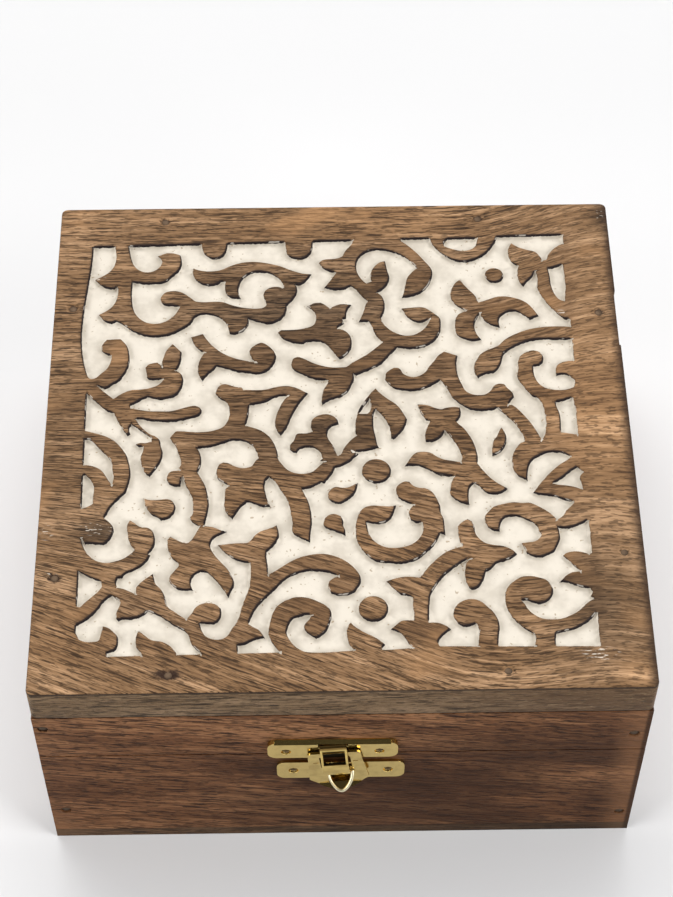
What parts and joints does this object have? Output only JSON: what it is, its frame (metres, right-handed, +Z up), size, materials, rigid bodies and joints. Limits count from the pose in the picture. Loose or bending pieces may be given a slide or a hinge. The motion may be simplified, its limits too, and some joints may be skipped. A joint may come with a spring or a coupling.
{
  "type": "wooden jewelry box",
  "caption": "Square wooden keepsake box with a carved arabesque lid, hinged at the back and closed by a small brass hasp at the front.",
  "frame": {"origin": "middle of the underside, on the face that it rests on", "axes": "+X to the right seen from the front, +Y to the back where the hinges are, +Z up"},
  "size_m": [0.152, 0.1616, 0.076],
  "materials": {
    "panel_wood": "waxed brown wood, carved; the recessed ground is rubbed with cream white paint and the edges of the scrolls are worn nearly black",
    "board_wood": "stained reddish-brown wood with fine dark pores, satin",
    "felt": "thin dark red felt",
    "steel": "small dull steel nails",
    "brass": "thin plated sheet, pale gold, lightly polished"
  },
  "bodies": {
    "body": {"body_front_wall": "board_wood", "body_back_wall": "board_wood", "body_left_wall": "board_wood", "body_right_wall": "board_wood", "base_panel": "board_wood", "felt_liner": "felt", "body_front_nail_left": "steel", "body_front_nail_right": "steel", "body_back_nail_left": "steel", "body_back_nail_right": "steel", "base_nail_front_left": "steel", "base_nail_front_right": "steel", "base_nail_back_left": "steel", "base_nail_back_right": "steel", "hinge_left_body_leaf": "brass", "hinge_right_body_leaf": "brass", "hinge_left_pin": "brass", "hinge_right_pin": "brass", "hinge_left_body_screw_left": "brass", "hinge_left_body_screw_right": "brass", "hinge_right_body_screw_left": "brass", "hinge_right_body_screw_right": "brass", "catch_lower_plate": "brass", "catch_lower_nail_left": "brass", "catch_lower_nail_right": "brass"},
    "lid": {"lid_panel": "panel_wood", "lid_front_wall": "board_wood", "lid_back_wall": "board_wood", "lid_left_wall": "board_wood", "lid_right_wall": "board_wood", "lid_nail_back_left": "steel", "lid_nail_back_right": "steel", "lid_nail_left_back": "steel", "lid_nail_right_back": "steel", "lid_nail_left_front": "steel", "lid_nail_right_front": "steel", "lid_nail_front_left": "steel", "lid_nail_front_right": "steel", "lid_front_nail_left": "steel", "lid_front_nail_right": "steel", "lid_back_nail_left": "steel", "lid_back_nail_right": "steel", "hinge_left_lid_leaf": "brass", "hinge_right_lid_leaf": "brass", "hinge_left_lid_screw_left": "brass", "hinge_left_lid_screw_right": "brass", "hinge_right_lid_screw_left": "brass", "hinge_right_lid_screw_right": "brass", "catch_upper_plate": "brass", "catch_upper_nail_left": "brass", "catch_upper_nail_right": "brass", "hasp_pin": "brass"},
    "hasp": {"hasp": "brass"}
  },
  "joints": [
    {"name": "lid_hinge", "type": "hinge", "parent": "body", "child": "lid", "pos_m": [0, 0.075, 0.0446], "axis": [-1, 0, 0], "range_deg": [0, 100]},
    {"name": "hasp_hinge", "type": "hinge", "parent": "lid", "child": "hasp", "pos_m": [-0.0024, -0.0784, 0.0497], "axis": [-0.9938, 0, -0.1115], "range_deg": [0, 90]}
  ]
}
